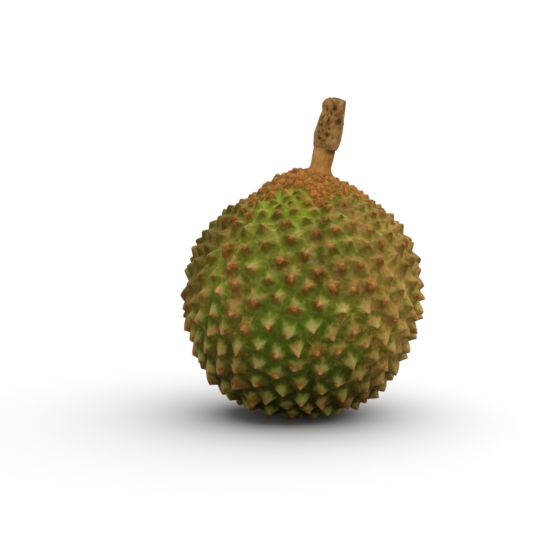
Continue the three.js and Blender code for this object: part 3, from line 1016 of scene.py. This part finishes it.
def smooth_through(at, known_at, known):
    """A curve through the known values, each stretch a cubic whose slopes are those of its neighbours."""
    slope = np.gradient(known, known_at, axis=0)
    k = np.clip(np.searchsorted(known_at, at, side="right") - 1, 0, len(known_at) - 2)
    span = (known_at[k + 1] - known_at[k])[:, None]
    t = (at - known_at[k])[:, None] / span
    from_value, to_value = known[k] * (1 + 2 * t) * (1 - t) ** 2, known[k + 1] * t * t * (3 - 2 * t)
    return from_value + to_value + span * (slope[k] * t * (1 - t) ** 2 - slope[k + 1] * t * t * (1 - t))


def stalk_rings():
    """Height, radius and stray of each ring: a smooth curve through the stations, stepped evenly along the
    outside."""
    steps = np.linalg.norm(np.diff(STALK_STATIONS[:, :2], axis=0), axis=1)
    along = np.concatenate([[0], np.cumsum(steps)])
    return smooth_through(np.linspace(0, along[-1], STALK_RINGS), along, STALK_STATIONS)


def stalk_section(height, radius, around):
    """The radius at each place: the ring's, times 1 plus a cosine of twice the way round for the oval and a
    sine of three times it for the knobs, both of which twist with the height and are absent at the foot."""
    oval = OVAL * np.cos(2 * around + OVAL_TURN + height * OVAL_TWIST)
    knobs = KNOBS * np.sin(3 * around + height * KNOBS_TWIST)
    return radius * (1 + smoothstep(height, *ROUND_FOOT) * (oval + knobs))


def stalk_pits(wall, height, around):
    """How far each place lies in a pit, from 0 to 1, and how deep: the highest of the pits' bells, each of
    the distance from its middle in half widths across and half heights up, made ragged by noise."""
    n = np.arange(LOOSE_PITS)
    front_height, front_turn, front_width, front_tall = FRONT_PITS.T
    loose_height = PIT_HEIGHTS[0] + PIT_HEIGHTS[1] * chance(n, 11)
    loose_azimuth = math.pi * (PIT_HALF_TURNS[0] + PIT_HALF_TURNS[1] * chance(n, 12))
    loose_width = PIT_WIDTHS[0] + PIT_WIDTHS[1] * chance(n, 13) ** 2
    pit_height = np.concatenate([front_height / 1000, loose_height])
    pit_azimuth = np.concatenate([np.radians(front_turn - 90), loose_azimuth])
    width = np.concatenate([front_width / 1000, loose_width])
    tall = np.concatenate([front_tall / 1000, PIT_TALLER * loose_width])
    apart = (around[..., None] - pit_azimuth + math.pi) % (2 * math.pi) - math.pi
    ragged = 1 + RAGGED * cloud(wall, RAGGED_SIZE, RAGGED_SEED)[..., None]
    sunk = bump(np.hypot(apart * PIT_REACH / width, (height[..., None] - pit_height) / tall) * ragged, 1)
    depth = sunk * np.minimum(PIT_STEEPNESS * width, DEEPEST_PIT)
    return sunk.max(-1), depth.max(-1)


def stalk_surface():
    """Rings through the stations on a straight axis. The cork of the knuckle carries lumps and pits, the neck
    carries lumps drawn out along it, and the broken end is torn up and down. The last ring is one point."""
    rings = stalk_rings()
    height, radius = rings[:, 0:1], np.maximum(rings[:, 1:2], 0)
    around = (np.arange(STALK_SIDES) / STALK_SIDES * 2 * math.pi)[None]
    r = stalk_section(height, radius, around)
    wall = np.stack([r * np.cos(around), r * np.sin(around), height + 0 * r], -1)
    corky = smoothstep(height, *CORK_ZONE) + 0 * r
    ended = smoothstep(height, *BROKEN_ZONE) + 0 * r

    pits, depth = stalk_pits(wall, height, around)
    drawn = np.stack([
        STRAND_RADIUS * np.cos(around) + 0 * r,
        STRAND_RADIUS * np.sin(around) + 0 * r,
        wall[..., 2] / STRAND_STRETCH,
    ], -1)
    neck = lumps_at(drawn, STRAND_LUMPS) + lumps_at(wall, NECK_LUMPS)
    pushed = corky * (lumps_at(wall, BARK_LUMPS) - depth) + (1 - corky) * neck
    wall[..., :2] *= (1 + pushed / np.maximum(r, NEAR_MIDDLE))[..., None]
    wall[..., 2] += ended * lumps_at(wall, BROKEN_LUMPS) * smoothstep(radius, 0, NEAR_MIDDLE)
    wall[..., :2] += rings[:, None, 2:4]
    wall[-1] = wall[-1].mean(0)
    return wall, pits * corky, corky, ended


def leaning(points):
    """The points turned about Y by STALK_TILT, towards +X, and set on the ground of the crown."""
    c, s = math.cos(STALK_TILT), math.sin(STALK_TILT)
    crown = np.array([0, 0, 1.0])
    turned = points @ np.array([[c, 0, s], [0, 1, 0], [-s, 0, c]]).T
    return turned + point_at(crown, -valley_depth(crown))


def tube_faces(rings, sides):
    """Triangles between neighbouring rings, and round a point at the middle of the first ring."""
    ring, side = np.meshgrid(np.arange(rings - 1), np.arange(sides), indexing="ij")
    a = (ring * sides + side).ravel()
    b = (ring * sides + (side + 1) % sides).ravel()
    k = np.arange(sides)
    root = np.stack([np.full(sides, rings * sides), (k + 1) % sides, k], -1)
    return np.vstack([np.stack([a, b, b + sides], -1), np.stack([a, b + sides, a + sides], -1), root])


STALK_READINGS = {"marks": ("pits", "corky", "ended")}

wall, pits, corky, ended = stalk_surface()
stalk_points = leaning(wall)
stalk_attributes = in_threes(STALK_READINGS, {"pits": pits, "corky": corky, "ended": ended}, pits.shape)
stalk_attributes["bark_place"] = wall
stalk = new_piece(
    "stalk.wood",
    np.vstack([stalk_points.reshape(-1, 3), stalk_points[0].mean(0)]),
    tube_faces(STALK_RINGS, STALK_SIDES),
    {title: np.vstack([values.reshape(-1, 3), np.zeros(3)]) for title, values in stalk_attributes.items()},
)

# The finish of the wood, given as the rind's is.
BARK_NOISES = {"blotch": (120, 3, 0.55), "lumps": (330, 4, 0.6), "grit": (1100, 3, 0.65)}
STRAND_NOISE = {"strands": (900, 4, 0.6)}
DRAWN_OUT = (1, 1, 0.12)  # how the strands' noise is scaled, which draws it out along the stalk
BARK_SUMS = {"smooth": {"always": 1.0, "corky": -1.0}}
BARK_RAMPS = {
    "neck": ({"always": 0.5, "blotch": 0.5, "strands": 0.9}, [
        (0.15, (143, 96, 41)),
        (0.50, (175, 126, 66)),
        (0.85, (191, 148, 94)),
    ]),
    "cork": ({"always": 0.5, "blotch": 1.2, "lumps": 1.0}, [
        (0.12, (76, 50, 16)),
        (0.42, (130, 92, 46)),
        (0.62, (150, 112, 66)),
        (0.90, (172, 140, 94)),
    ]),
}
BARK_COATS = {
    "cork above the neck": ["cork", "corky"],
    "scurf round the foot": [(162, 108, 52), ({"upward": 1.0, "lumps": 0.006}, 0.0065, 0.0015), 0.8],
    # Painted shade: the neck is darker towards +X.
    "painted shade on the +X side of the neck": [(112, 68, 20), ("across", -0.002, 0.009), "smooth", 0.6],
    # Painted shadow: the neck is dark just under the knuckle's lip on the +X side.
    "painted shadow under the lip": [
        (66, 44, 7),
        ("upward", 0.0150, 0.0195),
        ("across", -0.004, 0.004),
        "smooth",
        0.9,
    ],
    "dull broken end": [(96, 68, 40), "ended", 0.5],
    "rims of the pits": [(92, 62, 22), ("pits", 0.01, 0.3), 0.35],
    "hollows of the pits": [(58, 40, 6), ("pits", 0.1, 0.9), 0.9],
}
BARK_TONE = {"always": 1.0, "grit": 0.9}
BARK_ROUGHNESS = {"lumps": 1.0, "grit": 1.0}, -0.5, 0.5, 0.7, 0.95
BARK_RELIEF = {"lumps": 1.4, "strands": 1.0, "grit": 0.7}
BARK_RELIEF_DEPTH = 0.0004
BARK_GLOSS = 0.1


def bark_readings(tree):
    """What the mesh tells of each place, the noises there, and how far it lies across and up the stalk."""
    read = named_readings(tree, STALK_READINGS)
    place = attribute(tree, "bark_place")
    read.update(noises(tree, place, BARK_NOISES))
    drawn = node(tree, "Mapping", {"Vector": place, "Scale": DRAWN_OUT}).outputs[0]
    read.update(noises(tree, drawn, STRAND_NOISE))
    read["across"], _, read["upward"] = node(tree, "SeparateXYZ", {0: place}).outputs
    return read


def bark_finish():
    """Orange-brown, finely stranded wood on the neck, grey-brown cork with dark pits above it, and a darker
    broken end. The neck is painted in shade on its +X side and under the lip."""
    finish, tree, shader = new_finish("bark")
    read = bark_readings(tree)
    work_out(tree, read, BARK_SUMS, BARK_RAMPS)
    lay_on(tree, shader, coated(tree, read, read["neck"], BARK_COATS), weighed(tree, read, BARK_TONE))
    roughen(tree, shader, read, BARK_ROUGHNESS, BARK_RELIEF, BARK_RELIEF_DEPTH, BARK_GLOSS)
    return finish


stalk.data.materials.append(bark_finish())

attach(stalk, "root")
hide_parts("stalk")
